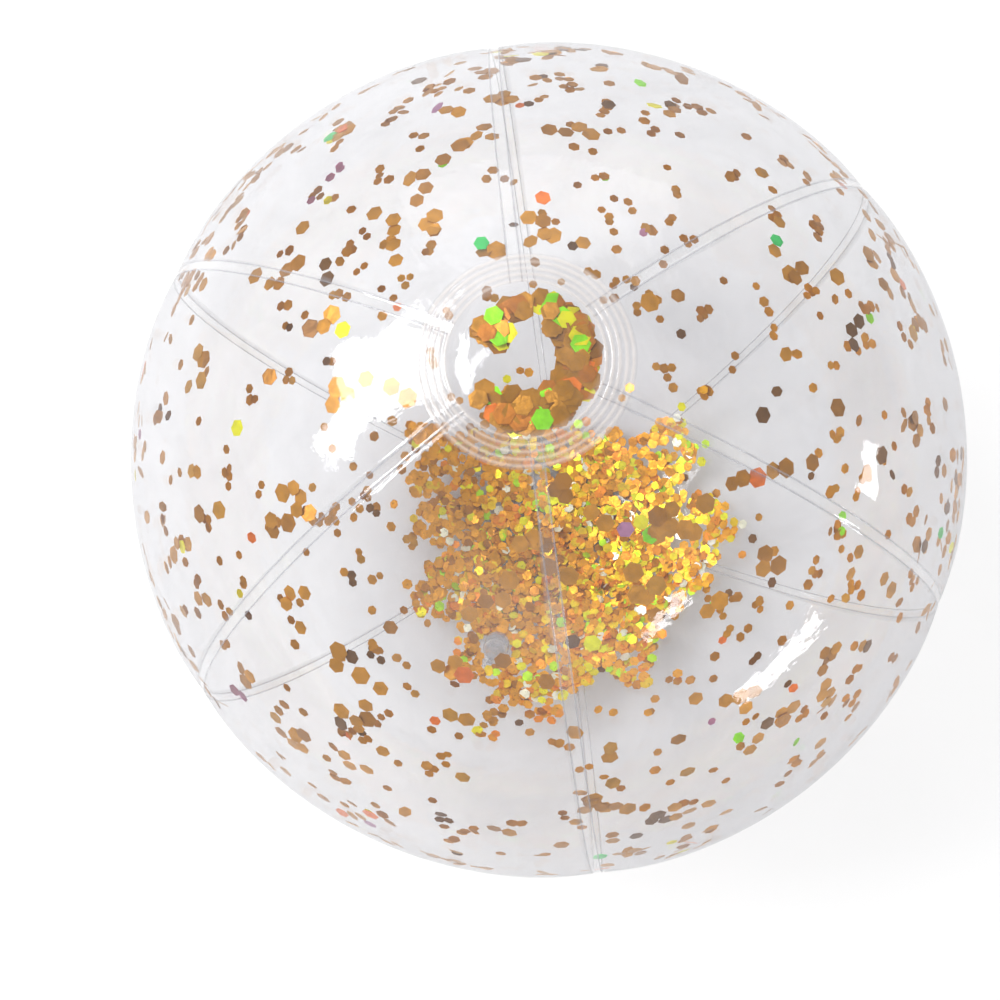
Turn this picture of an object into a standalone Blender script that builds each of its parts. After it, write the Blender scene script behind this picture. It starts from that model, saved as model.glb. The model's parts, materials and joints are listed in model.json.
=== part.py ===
"""Inflatable beach ball: six clear vinyl gores, two end discs, a push-in valve and loose hexagon glitter.

Metres, +Z up. The origin is on the surface the ball stands on, under the ball's centre.
"""

import math

import bmesh
import bpy
from mathutils import Matrix, Vector

# The ball
BALL_RADIUS = 0.200
FILM = 0.0003  # thickness of the vinyl film
GAP = 0.0003  # room between films that are welded on the real ball
GORES = 6
FIRST_SEAM = math.radians(97)  # longitude of the seam where gore_1 starts
LAP = 0.005  # width of the lap weld between two gores
RAMP = 0.0007  # width of the step where a gore dips under its neighbour
RING_STEP = 10  # degrees between the mesh lines of a gore

# End discs, measured from the ball's axis
DISC_RADIUS = 0.038
TOP_TIP_RADIUS = 0.027  # the gore tips end here under the top disc
BOTTOM_TIP_RADIUS = 0.033
FLAT_RADIUS = 0.031  # the part of the bottom disc that the ball rests on
RIB_RADII = (0.0285, 0.0308, 0.0331, 0.0354)
RIB_HEIGHT = 0.0004
RIB_HALF_WIDTH = 0.0008
CROWN_RADII = (0.011, 0.020)  # mesh rings between the top disc's middle and its ring welds
DISC_STEPS = 36

# Valve, in its own frame: +Z out of the ball, 0 on the ball's surface
VALVE_POLAR = math.radians(32)  # angle from the bottom of the ball
VALVE_GORE = 3  # gore number that carries the valve
FILM_HOLE_RADIUS = 0.0095
FILM_HOLE_DEPTH = 0.010
FLANGE_RADIUS = 0.0155
FLANGE_BORE = 0.0080
FLANGE_DEPTH = 0.0014
FLANGE_THICK = 0.0007
STEM_LENGTH = 0.0130
STEM_RADIUS = 0.0050
STEM_BORE = 0.0033
STEM_LIP_RADIUS = 0.0072
STEM_TOP = 0.0004
LIP_THICK = 0.0013
COLLAR_RADIUS = 0.0074
COLLAR_THICK = 0.0010
PLUG_CAP_RADIUS = 0.0064
PLUG_CAP_BOTTOM = 0.0008
PLUG_CAP_THICK = 0.0015
PLUG_CHAMFER = 0.0006
SHANK_LENGTH = 0.0041
SHANK_ROOT_RADIUS = 0.0026
SHANK_TIP_RADIUS = 0.0020
PLUG_HINGE_X = -0.0095
PLUG_HINGE_Z = 0.0012
EAR_WIDTH = 0.0036
EAR_THICK = 0.0009
EAR_OVERLAP = 0.0012  # how far the ear runs into the plug's cap
TETHER_WIDTH = 0.0030
TETHER_THICK = 0.0004
TETHER_OVERHANG = 0.0008  # past the plug's hinge line
FLAP_RADIUS = 0.0052
FLAP_THICK = 0.0005
FLAP_HINGE_X = 0.0058
ROUND_STEPS = 24

# Glitter
CAP_DEPTH = 0.0021  # how far inside the ball's radius the crescent lies
CAP_THICK = 0.0008
CAP_OUTER_RADIUS = 0.0255
CAP_INNER_RADIUS = 0.0120
CAP_OPEN_SIDE = math.radians(160)  # the crescent is open towards this side
CAP_OPEN_FROM = 0.0060
CAP_SEGMENTS = 36  # mesh lines of the sphere that the crescent is cut from
CAP_RINGS = 90
PILE_DEPTH = 0.0036
PILE_THICK = 0.0012
PILE_SPREAD = math.radians(33)
PILE_WAVES = ((3, 0.07, 0.6), (5, 0.04, 2.1))  # waves round the edge: number, height, start
PILE_SEGMENTS = 40
PILE_RINGS = 30
PILE_LEAN = math.radians(9)  # the pile lies off the lowest point, towards -Y
NOTCH_WIDTH = 0.021
NOTCH_LENGTH = 0.060
NOTCH_DEPTH = 0.030

disc_outside = BALL_RADIUS + GAP + FILM
flat_angle = math.asin(FLAT_RADIUS / disc_outside)
centre_height = disc_outside * math.cos(flat_angle)
valve_longitude = FIRST_SEAM + math.tau / GORES * (VALVE_GORE - 0.5)

COLOURS = {
    "clear_vinyl": ((0.90, 0.90, 0.93, 1.0), 0.08, 0.0),
    "disc_vinyl": ((0.87, 0.87, 0.90, 1.0), 0.12, 0.0),
    "valve_vinyl": ((0.82, 0.84, 0.87, 1.0), 0.25, 0.0),
    "plug_vinyl": ((0.84, 0.86, 0.90, 1.0), 0.22, 0.0),
    "flap_film": ((0.86, 0.87, 0.88, 1.0), 0.35, 0.0),
    "gold_foil": ((0.62, 0.36, 0.08, 1.0), 0.30, 0.9),
    "gold_pile": ((0.66, 0.40, 0.10, 1.0), 0.38, 0.8),
}


def clear_scene():
    for old in list(bpy.data.objects):
        bpy.data.objects.remove(old, do_unlink=True)


def make_collection(name):
    collection = bpy.data.collections.new(name)
    bpy.context.scene.collection.children.link(collection)
    return collection


def make_material(name):
    """A Principled finish by name from COLOURS."""
    if name in bpy.data.materials:
        return bpy.data.materials[name]
    colour, roughness, metallic = COLOURS[name]
    material = bpy.data.materials.new(name)
    material.use_nodes = True
    shader = material.node_tree.nodes["Principled BSDF"]
    shader.inputs["Base Color"].default_value = colour
    shader.inputs["Roughness"].default_value = roughness
    shader.inputs["Metallic"].default_value = metallic
    return material


def new_part(name, mesh, finish, parent, collection):
    part = bpy.data.objects.new(name, mesh)
    collection.objects.link(part)
    part.parent = parent
    if not mesh.materials:
        mesh.materials.append(make_material(finish))
    return part


def new_empty(name, location, parent, collection):
    empty = bpy.data.objects.new(name, None)
    collection.objects.link(empty)
    empty.empty_display_size = 0.02
    empty.location = location
    empty.parent = parent
    return empty


def mesh_from(bm, name, smooth_angle=30):
    mesh = bpy.data.meshes.new(name)
    bm.to_mesh(mesh)
    bm.free()
    mesh.shade_smooth()
    mesh.set_sharp_from_angle(angle=math.radians(smooth_angle))
    return mesh


def cut_away(bm, point, direction, discard):
    """Bisects the mesh. discard drops what lies on the side that direction points to."""
    bmesh.ops.bisect_plane(
        bm,
        geom=bm.verts[:] + bm.edges[:] + bm.faces[:],
        plane_co=point,
        plane_no=direction,
        clear_outer=discard,
        dist=1e-6,
    )


def seam_normal(longitude):
    return Vector((-math.sin(longitude), math.cos(longitude), 0))


def gore_mesh():
    """One sixth of the ball as an open surface. Its start edge dips under the neighbour's end edge."""
    bm = bmesh.new()
    bmesh.ops.create_uvsphere(
        bm, u_segments=360 // RING_STEP, v_segments=180 // RING_STEP, radius=BALL_RADIUS
    )
    start = seam_normal(0)
    end = seam_normal(math.tau / GORES)
    dip_from = LAP / 2 + GAP
    cut_away(bm, -start * LAP / 2, -start, True)
    cut_away(bm, end * LAP / 2, end, True)
    cut_away(bm, (0, 0, math.sqrt(BALL_RADIUS**2 - TOP_TIP_RADIUS**2)), (0, 0, 1), True)
    cut_away(bm, (0, 0, -math.sqrt(BALL_RADIUS**2 - BOTTOM_TIP_RADIUS**2)), (0, 0, -1), True)
    cut_away(bm, start * dip_from, start, False)
    cut_away(bm, start * (dip_from + RAMP), start, False)
    dip = FILM + GAP
    for vert in bm.verts:
        if vert.co.dot(start) < dip_from + RAMP / 2:
            vert.co *= 1 - dip / BALL_RADIUS
    return mesh_from(bm, "gore")


def add_gores(centre, parts):
    mesh = gore_mesh()
    gores = []
    for number in range(1, GORES + 1):
        gore = new_part(f"gore_{number}", mesh, "clear_vinyl", centre, parts)
        gore.rotation_euler.z = FIRST_SEAM + math.tau / GORES * (number - 1)
        thicken(gore, FILM)
        gores.append(gore)
    return gores


def thicken(part, thickness):
    """Gives an open surface a wall on its inner side."""
    solidify = part.modifiers.new("film", "SOLIDIFY")
    solidify.thickness = thickness
    solidify.offset = -1
    solidify.use_even_offset = True


def turn(part, steps):
    """Turns a profile in the XZ plane round Z."""
    screw = part.modifiers.new("turn", "SCREW")
    screw.axis = "Z"
    screw.steps = steps
    screw.render_steps = steps
    screw.use_merge_vertices = True
    screw.merge_threshold = 0.00005
    screw.use_normal_calculate = False


def profile_mesh(name, points, closed):
    """A chain of edges through (radius, height) points, from the top of the outer side down."""
    bm = bmesh.new()
    verts = [bm.verts.new((radius, 0, height)) for radius, height in points]
    for first, second in zip(verts, verts[1:]):
        bm.edges.new((first, second))
    if closed:
        bm.edges.new((verts[-1], verts[0]))
    return mesh_from(bm, name)


def disc_surface(radius, raised=0.0):
    """Height of a disc's outer face above the ball's centre, at a distance from the axis."""
    return math.sqrt((disc_outside + raised) ** 2 - radius**2)


def ribbed_points(inner_radius, ribs):
    """The disc's outer face from inner_radius to the rim, with a ridge at each rib."""
    points = [(inner_radius, disc_surface(inner_radius))]
    for rib in ribs:
        points.append((rib - RIB_HALF_WIDTH, disc_surface(rib - RIB_HALF_WIDTH)))
        points.append((rib, disc_surface(rib, RIB_HEIGHT)))
        points.append((rib + RIB_HALF_WIDTH, disc_surface(rib + RIB_HALF_WIDTH)))
    points.append((DISC_RADIUS, disc_surface(DISC_RADIUS)))
    return points


def add_top_disc(centre, parts):
    crown = [(0, disc_outside)] + [(radius, disc_surface(radius)) for radius in CROWN_RADII]
    points = crown + ribbed_points(TOP_TIP_RADIUS, RIB_RADII)
    mesh = profile_mesh("top_end_disc", points, closed=False)
    disc = new_part("top_end_disc", mesh, "disc_vinyl", centre, parts)
    turn(disc, DISC_STEPS)
    thicken(disc, FILM)


def add_bottom_disc(centre, parts):
    """Flat where the ball stands on it, and ribbed only beyond that."""
    ribs = [rib for rib in RIB_RADII if rib > FLAT_RADIUS + 2 * RIB_HALF_WIDTH]
    outward = ribbed_points(FLAT_RADIUS, ribs)
    points = [(radius, -height) for radius, height in reversed(outward)]
    points += [(FLAT_RADIUS / 2, -centre_height), (0, -centre_height)]
    mesh = profile_mesh("bottom_end_disc", points, closed=False)
    disc = new_part("bottom_end_disc", mesh, "disc_vinyl", centre, parts)
    turn(disc, DISC_STEPS)
    thicken(disc, FILM)


def ball_sag(radius, depth=0.0):
    """Height, in the valve's frame, of a sphere depth inside the ball's surface."""
    return math.sqrt((BALL_RADIUS - depth) ** 2 - radius**2) - BALL_RADIUS


def add_flange(valve, parts):
    under = FLANGE_DEPTH + FLANGE_THICK
    points = [
        (FLANGE_BORE, ball_sag(FLANGE_BORE, FLANGE_DEPTH)),
        (FLANGE_RADIUS, ball_sag(FLANGE_RADIUS, FLANGE_DEPTH)),
        (FLANGE_RADIUS, ball_sag(FLANGE_RADIUS, under)),
        (FLANGE_BORE, ball_sag(FLANGE_BORE, under)),
    ]
    mesh = profile_mesh("valve_flange", points, closed=True)
    flange = new_part("valve_flange", mesh, "valve_vinyl", valve, parts)
    turn(flange, ROUND_STEPS)


def add_stem(stem, parts):
    """The neck: a tube with a lip outside and a collar at its inner end."""
    bottom = STEM_TOP - STEM_LENGTH
    points = [
        (STEM_BORE, STEM_TOP),
        (STEM_LIP_RADIUS, STEM_TOP),
        (STEM_LIP_RADIUS, STEM_TOP - LIP_THICK),
        (STEM_RADIUS, STEM_TOP - LIP_THICK),
        (STEM_RADIUS, bottom + COLLAR_THICK),
        (COLLAR_RADIUS, bottom + COLLAR_THICK),
        (COLLAR_RADIUS, bottom),
        (STEM_BORE, bottom),
    ]
    mesh = profile_mesh("valve_stem", points, closed=True)
    turn(new_part("valve_stem", mesh, "valve_vinyl", stem, parts), ROUND_STEPS)


def box_into(bm, low, high):
    """Adds a box between two corners to a mesh."""
    low, high = Vector(low), Vector(high)
    size = Matrix.Diagonal((*(high - low), 1))
    bmesh.ops.create_cube(bm, size=1, matrix=Matrix.Translation((low + high) / 2) @ size)


def add_tether(stem, parts):
    """The strap that keeps the plug on the stem: it leaves the lip and ends under the plug's ear."""
    bm = bmesh.new()
    start = -STEM_LIP_RADIUS - GAP
    top = PLUG_HINGE_Z - EAR_THICK / 2 - 2 * GAP
    box_into(
        bm,
        (PLUG_HINGE_X - TETHER_OVERHANG, -TETHER_WIDTH / 2, top - TETHER_THICK),
        (start, TETHER_WIDTH / 2, top),
    )
    new_part("plug_tether", mesh_from(bm, "plug_tether"), "plug_vinyl", stem, parts)


def add_plug(hinge, parts, cutters):
    """Cap and tapered shank in one, with the ear that the tether holds. Its origin is on the hinge."""
    cap_top = PLUG_CAP_BOTTOM + PLUG_CAP_THICK
    points = [
        (0, cap_top),
        (PLUG_CAP_RADIUS - PLUG_CHAMFER, cap_top),
        (PLUG_CAP_RADIUS, cap_top - PLUG_CHAMFER),
        (PLUG_CAP_RADIUS, PLUG_CAP_BOTTOM),
        (SHANK_ROOT_RADIUS, PLUG_CAP_BOTTOM),
        (SHANK_TIP_RADIUS, PLUG_CAP_BOTTOM - SHANK_LENGTH),
        (0, PLUG_CAP_BOTTOM - SHANK_LENGTH),
    ]
    mesh = profile_mesh("valve_plug", points, closed=False)
    plug = new_part("valve_plug", mesh, "plug_vinyl", hinge, parts)
    turn(plug, ROUND_STEPS)
    to_hinge = Vector((-PLUG_HINGE_X, 0, -PLUG_HINGE_Z))
    plug.location = to_hinge
    bm = bmesh.new()
    box_into(
        bm,
        (PLUG_HINGE_X - EAR_THICK / 2, -EAR_WIDTH / 2, PLUG_HINGE_Z - EAR_THICK / 2),
        (-PLUG_CAP_RADIUS + EAR_OVERLAP, EAR_WIDTH / 2, PLUG_HINGE_Z + EAR_THICK / 2),
    )
    ear = new_part("plug_ear", mesh_from(bm, "plug_ear"), "plug_vinyl", hinge, cutters)
    ear.location = to_hinge
    hide(ear)
    join = plug.modifiers.new("ear", "BOOLEAN")
    join.operation = "UNION"
    join.object = ear


def add_flap(hinge, parts):
    """The check flap: a thin disc across the stem's inner end, hinged at its edge."""
    bm = bmesh.new()
    bmesh.ops.create_cone(
        bm,
        segments=ROUND_STEPS,
        radius1=FLAP_RADIUS,
        radius2=FLAP_RADIUS,
        depth=FLAP_THICK,
        cap_ends=True,
        matrix=Matrix.Translation((-FLAP_HINGE_X, 0, 0)),
    )
    new_part("check_flap", mesh_from(bm, "check_flap"), "flap_film", hinge, parts)


def hide(cutter):
    cutter.hide_render = True
    cutter.display_type = "WIRE"


def cut_film_hole(gore, valve, cutters):
    """The round hole in the film that the stem slides through."""
    bm = bmesh.new()
    bmesh.ops.create_cone(
        bm,
        segments=ROUND_STEPS,
        radius1=FILM_HOLE_RADIUS,
        radius2=FILM_HOLE_RADIUS,
        depth=FILM_HOLE_DEPTH,
        cap_ends=True,
    )
    cutter = new_part("film_hole", mesh_from(bm, "film_hole"), "valve_vinyl", valve, cutters)
    hide(cutter)
    hole = gore.modifiers.new("valve hole", "BOOLEAN")
    hole.operation = "DIFFERENCE"
    hole.object = cutter


def add_cap_glitter(centre, parts):
    """The crescent of flakes under the top disc, as one thin layer inside the ring welds."""
    radius = BALL_RADIUS - CAP_DEPTH
    open_way = Vector((math.cos(CAP_OPEN_SIDE), math.sin(CAP_OPEN_SIDE), 0))
    bm = bmesh.new()
    bmesh.ops.create_uvsphere(bm, u_segments=CAP_SEGMENTS, v_segments=CAP_RINGS, radius=radius)
    cut_away(bm, (0, 0, math.sqrt(radius**2 - CAP_OUTER_RADIUS**2)), (0, 0, -1), True)
    for vert in bm.verts:
        around = Vector((vert.co.x, vert.co.y, 0)).dot(open_way)
        vert.select = around > -CAP_INNER_RADIUS and vert.co.xy.length < CAP_INNER_RADIUS + 1e-5
    bmesh.ops.delete(bm, geom=[vert for vert in bm.verts if vert.select], context="VERTS")
    cut_away(bm, open_way * CAP_OPEN_FROM, open_way, True)
    mesh = mesh_from(bm, "cap_glitter")
    thicken(new_part("cap_glitter", mesh, "gold_foil", centre, parts), CAP_THICK)


def pile_edge(around):
    """How far the pile spreads in one direction, as a share of PILE_SPREAD."""
    return 1 + sum(height * math.sin(number * around + start) for number, height, start in PILE_WAVES)


def add_loose_glitter(pivot, valve, parts, cutters):
    """The pile on the bottom: a thin ragged cap, with a notch round the valve's stem."""
    bm = bmesh.new()
    radius = BALL_RADIUS - PILE_DEPTH
    bmesh.ops.create_uvsphere(bm, u_segments=PILE_SEGMENTS, v_segments=PILE_RINGS, radius=radius)
    cut_away(bm, (0, 0, -radius * math.cos(PILE_SPREAD)), (0, 0, 1), True)
    for vert in bm.verts:
        around = math.atan2(vert.co.y, vert.co.x)
        polar = math.acos(max(-1.0, min(1.0, -vert.co.z / radius))) * pile_edge(around)
        across = radius * math.sin(polar)
        vert.co = (across * math.cos(around), across * math.sin(around), -radius * math.cos(polar))
    bmesh.ops.rotate(bm, verts=bm.verts, matrix=Matrix.Rotation(-PILE_LEAN, 3, "X"))
    mesh = mesh_from(bm, "loose_glitter")
    pile = new_part("loose_glitter", mesh, "gold_pile", pivot, parts)
    thicken(pile, PILE_THICK)

    bm = bmesh.new()
    box_into(
        bm,
        (-NOTCH_LENGTH, -NOTCH_WIDTH / 2, -NOTCH_DEPTH),
        (NOTCH_WIDTH / 2, NOTCH_WIDTH / 2, 0),
    )
    notch = new_part("pile_notch", mesh_from(bm, "pile_notch"), "gold_pile", valve, cutters)
    hide(notch)
    cut = pile.modifiers.new("notch", "BOOLEAN")
    cut.operation = "DIFFERENCE"
    cut.object = notch


def valve_direction():
    """Unit vector from the ball's centre to the valve."""
    across = math.sin(VALVE_POLAR)
    return Vector(
        (
            across * math.cos(valve_longitude),
            across * math.sin(valve_longitude),
            -math.cos(VALVE_POLAR),
        )
    )


def add_valve(centre, parts, cutters):
    """The valve's frame: +Z out of the ball, +X down the wall, towards the bottom disc."""
    outward = valve_direction()
    sideways = Vector((-math.sin(valve_longitude), math.cos(valve_longitude), 0))
    valve = new_empty("valve_frame", outward * BALL_RADIUS, centre, parts)
    valve.rotation_mode = "QUATERNION"
    axes = Matrix((sideways.cross(outward), sideways, outward)).transposed()
    valve.rotation_quaternion = axes.to_quaternion()
    stem = new_empty("stem_slide", (0, 0, 0), valve, parts)
    plug_hinge = new_empty("plug_hinge", (PLUG_HINGE_X, 0, PLUG_HINGE_Z), stem, parts)
    flap_z = STEM_TOP - STEM_LENGTH - GAP - FLAP_THICK / 2
    flap_hinge = new_empty("flap_hinge", (FLAP_HINGE_X, 0, flap_z), stem, parts)
    add_flange(valve, parts)
    add_stem(stem, parts)
    add_tether(stem, parts)
    add_plug(plug_hinge, parts, cutters)
    add_flap(flap_hinge, parts)
    return valve


def build_ball():
    clear_scene()
    parts = make_collection("beach_ball")
    cutters = make_collection("cutters")
    centre = new_empty("ball_centre", (0, 0, centre_height), None, parts)
    pile_pivot = new_empty("pile_pivot", (0, 0, 0), centre, parts)
    gores = add_gores(centre, parts)
    add_top_disc(centre, parts)
    add_bottom_disc(centre, parts)
    valve = add_valve(centre, parts, cutters)
    cut_film_hole(gores[VALVE_GORE - 1], valve, cutters)
    add_cap_glitter(centre, parts)
    add_loose_glitter(pile_pivot, valve, parts, cutters)


build_ball()
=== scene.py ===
import json
import math
import random

import bmesh
import bpy
import numpy as np
from mathutils import Matrix, Vector


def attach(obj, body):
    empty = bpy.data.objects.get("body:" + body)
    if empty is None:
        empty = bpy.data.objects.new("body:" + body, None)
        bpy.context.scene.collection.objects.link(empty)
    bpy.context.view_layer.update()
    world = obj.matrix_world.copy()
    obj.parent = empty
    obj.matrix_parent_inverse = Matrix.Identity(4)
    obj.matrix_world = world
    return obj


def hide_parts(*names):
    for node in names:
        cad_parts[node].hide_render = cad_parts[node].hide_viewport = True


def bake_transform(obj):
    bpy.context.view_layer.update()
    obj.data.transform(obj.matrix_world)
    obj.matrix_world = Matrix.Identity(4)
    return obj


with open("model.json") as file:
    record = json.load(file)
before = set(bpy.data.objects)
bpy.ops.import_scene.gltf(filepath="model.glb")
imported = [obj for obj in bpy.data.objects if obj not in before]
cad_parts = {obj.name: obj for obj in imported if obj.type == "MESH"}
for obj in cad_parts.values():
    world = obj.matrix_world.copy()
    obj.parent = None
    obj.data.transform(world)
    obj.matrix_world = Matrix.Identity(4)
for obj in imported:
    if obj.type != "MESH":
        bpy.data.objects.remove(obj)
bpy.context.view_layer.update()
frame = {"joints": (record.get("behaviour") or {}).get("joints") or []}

# the ball's own numbers; the centre and the valve's axes are read from the joints
joints = {joint["name"]: joint for joint in frame["joints"]}
ballCentre = Vector(joints["glitter_slide"]["pos_m"])
ballRadius = 0.200
gores = 6
firstSeam = math.radians(97)
valveWay = Vector(joints["stem_slide"]["axis"]).normalized()
valveSide = -Vector(joints["plug_swing"]["axis"]).normalized()
valveDown = valveSide.cross(valveWay)
valveSpot = ballCentre + valveWay * ballRadius
valveGore = 3                # the gore that carries the valve


def report(stage):
    print("ball:", stage)


def deselectAll():
    if bpy.context.object and bpy.context.object.mode != "OBJECT":
        bpy.ops.object.mode_set(mode="OBJECT")
    bpy.ops.object.select_all(action="DESELECT")


def makeActive(piece):
    deselectAll()
    piece.select_set(True)
    bpy.context.view_layer.objects.active = piece


def editAll(piece):
    makeActive(piece)
    bpy.ops.object.mode_set(mode="EDIT")
    bpy.ops.mesh.select_all(action="SELECT")


def leaveEdit():
    bpy.ops.object.mode_set(mode="OBJECT")


def readPoints(piece):
    points = np.zeros(len(piece.data.vertices) * 3, np.float32)
    piece.data.vertices.foreach_get("co", points)
    return points.reshape(-1, 3).astype(float)


def writePoints(piece, points):
    piece.data.vertices.foreach_set("co", points.astype(np.float32).ravel())
    piece.data.update()


# Adds a modifier with its settings and applies it
def addModifier(piece, kind, **settings):
    makeActive(piece)
    modifier = piece.modifiers.new(kind.lower(), kind)
    for name, value in settings.items():
        setattr(modifier, name, value)
    bpy.ops.object.modifier_apply(modifier=modifier.name)


# Names a finished piece, gives it its finish and hangs it on its body
def settle(piece, name, material, body, slotName, *nodes):
    piece.name = name
    piece.data.name = name
    piece.data.materials.clear()
    piece.data.materials.append(material)
    makeActive(piece)
    bpy.ops.object.transform_apply(location=True, rotation=True, scale=True)
    deselectAll()
    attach(piece, body)
    if nodes:
        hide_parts(*nodes)


def newMaterial(name):
    material = bpy.data.materials.new(name)
    material.use_nodes = True
    tree = material.node_tree
    tree.nodes.clear()
    output = tree.nodes.new("ShaderNodeOutputMaterial")
    return material, tree, output


def addNode(tree, kind, **inputs):
    node = tree.nodes.new(kind)
    for name, value in inputs.items():
        node.inputs[name.replace("_", " ")].default_value = value
    return node


# Links a socket that is handed in, and sets anything else on the input itself
def feed(tree, target, value):
    if isinstance(value, bpy.types.NodeSocket):
        tree.links.new(value, target)
    else:
        target.default_value = value


def mathNode(tree, operation, first, second):
    node = tree.nodes.new("ShaderNodeMath")
    node.operation = operation
    feed(tree, node.inputs[0], first)
    feed(tree, node.inputs[1], second)
    return node.outputs[0]


def mixColour(tree, share, first, second, blend="MIX"):
    mix = tree.nodes.new("ShaderNodeMix")
    mix.data_type = "RGBA"
    mix.blend_type = blend
    for number, value in ((0, share), (6, first), (7, second)):      # factor, colour A, colour B
        feed(tree, mix.inputs[number], value)
    return mix.outputs[2]


def mixShader(tree, share, first, second):
    mix = tree.nodes.new("ShaderNodeMixShader")
    for number, value in enumerate((share, first, second)):
        tree.links.new(value, mix.inputs[number])
    return mix.outputs[0]


def attributeNode(tree, name):
    node = tree.nodes.new("ShaderNodeAttribute")
    node.attribute_name = name
    return node


# Object coordinates measured from the ball's centre
def centredCoordinates(tree):
    coordinates = tree.nodes.new("ShaderNodeTexCoord")
    mapping = tree.nodes.new("ShaderNodeMapping")
    mapping.inputs["Location"].default_value = -ballCentre
    tree.links.new(coordinates.outputs["Object"], mapping.inputs["Vector"])
    return mapping.outputs["Vector"]


def noiseValue(tree, vector, scale, detail=3.0, roughness=0.55, distortion=0.0):
    noise = addNode(tree, "ShaderNodeTexNoise", Scale=scale, Detail=detail, Roughness=roughness,
                    Distortion=distortion)
    tree.links.new(vector, noise.inputs["Vector"])
    return noise.outputs["Fac"]


def rampValue(tree, value, low, high, fromLow=0.0, fromHigh=1.0):
    node = tree.nodes.new("ShaderNodeMapRange")
    node.inputs["From Min"].default_value = fromLow
    node.inputs["From Max"].default_value = fromHigh
    node.inputs["To Min"].default_value = low
    node.inputs["To Max"].default_value = high
    tree.links.new(value, node.inputs["Value"])
    return node.outputs["Result"]


filmLook = {
    "clear": 0.952,            # light left after one face of the film, head on
    "clearEdge": 0.90,         # and at a grazing view
    "haze": 0.022,             # milkiness of one face
    "hazeColour": (0.26, 0.27, 0.32, 1),
    "wispColour": (0.82, 0.83, 0.90, 1),
    "clearBand": 0.985,        # and where two films lie welded together
    "weldHaze": 0.20,          # milkiness along the welds
    "weldColour": (0.40, 0.40, 0.43, 1),
    "facing": 0.030,           # mirror seen head on
    "edge": 0.22,              # extra mirror at a grazing view
    "roughness": 0.05,
    "ripple": 0.30,
}
discLook = dict(filmLook, haze=0.016, weldHaze=0.24, weldColour=(0.88, 0.79, 0.72, 1), ripple=0.30)
valveLook = dict(filmLook, clearEdge=0.76, haze=0.08, hazeColour=(0.6, 0.6, 0.6, 1), edge=0.45, ripple=0.15)
plugLook = dict(valveLook, haze=0.12)
flapLook = dict(valveLook, haze=0.06)
filmTexture = {
    "grazingPower": 4.0,
    "coolness": 1.005,                          # a trace more blue comes through
    "milkRoughness": 0.45,
    "glossColour": (0.95, 0.95, 0.97, 1),
    "wispNoise": (6.0, 5.0, 0.62, 2.0),         # noises: scale, detail, roughness, distortion
    "wispRamp": (0, 1, 0.44, 0.62),             # ramps: to low, to high, from low, from high
    "densityNoise": (7.0, 5.0, 0.65, 2.4),
    "densityRamp": (0.2, 2.4, 0.34, 0.68),
    "stretchNoise": (14.0, 4.0, 0.6, 1.2),
    "stretchShare": 0.8,
    "fineNoise": (90.0, 3.0, 0.6, 0.4),
    "fineShare": 0.2,
    "bumpDepth": 0.002,
}


# Clear vinyl: sees through, shines like plastic, slightly milky, with soft stretch marks
def filmMaterial(name, look):
    t = filmTexture
    material, tree, output = newMaterial(name)
    vector = centredCoordinates(tree)
    facing = addNode(tree, "ShaderNodeLayerWeight", Blend=0.5)
    grazing = mathNode(tree, "POWER", facing.outputs["Facing"], t["grazingPower"])
    ends = [(look[key], look[key], look[key] * t["coolness"], 1) for key in ("clear", "clearEdge")]
    band = attributeNode(tree, "weldBand")
    single, double = mixColour(tree, grazing, *ends), [look["clearBand"]] * 3 + [1]
    banded = mixColour(tree, band.outputs["Fac"], single, double)
    clear = tree.nodes.new("ShaderNodeBsdfTransparent")
    tree.links.new(banded, clear.inputs["Color"])
    weld = attributeNode(tree, "weldShade")
    clouds = rampValue(tree, noiseValue(tree, vector, *t["wispNoise"]), *t["wispRamp"])
    wisps = mixColour(tree, clouds, look["hazeColour"], look["wispColour"])
    milk = addNode(tree, "ShaderNodeBsdfPrincipled", Roughness=t["milkRoughness"])
    tree.links.new(mixColour(tree, weld.outputs["Fac"], wisps, look["weldColour"]), milk.inputs["Base Color"])
    gloss = addNode(tree, "ShaderNodeBsdfPrincipled", Base_Color=t["glossColour"], Metallic=1.0,
                    Roughness=look["roughness"])
    stretch = mathNode(tree, "MULTIPLY", noiseValue(tree, vector, *t["stretchNoise"]), t["stretchShare"])
    fine = mathNode(tree, "MULTIPLY", noiseValue(tree, vector, *t["fineNoise"]), t["fineShare"])
    bump = addNode(tree, "ShaderNodeBump", Strength=look["ripple"], Distance=t["bumpDepth"])
    tree.links.new(mathNode(tree, "ADD", stretch, fine), bump.inputs["Height"])
    tree.links.new(bump.outputs["Normal"], gloss.inputs["Normal"])
    density = rampValue(tree, noiseValue(tree, vector, *t["densityNoise"]), *t["densityRamp"])
    milkShare = mathNode(tree, "ADD", mathNode(tree, "MULTIPLY", density, look["haze"]),
                         mathNode(tree, "MULTIPLY", weld.outputs["Fac"], look["weldHaze"]))
    body = mixShader(tree, milkShare, clear.outputs[0], milk.outputs[0])
    share = mathNode(tree, "ADD", mathNode(tree, "MULTIPLY", grazing, look["edge"]), look["facing"])
    surface = mixShader(tree, share, body, gloss.outputs[0])
    tree.links.new(surface, output.inputs["Surface"])
    return material


# Stores how strongly each point belongs to a weld line and to a doubled band of film
def markWelds(piece, line, band):
    for name, values in (("weldShade", line), ("weldBand", band)):
        mark = piece.data.attributes.new(name, "FLOAT", "POINT")
        mark.data.foreach_set("value", np.asarray(values, np.float32))


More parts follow.
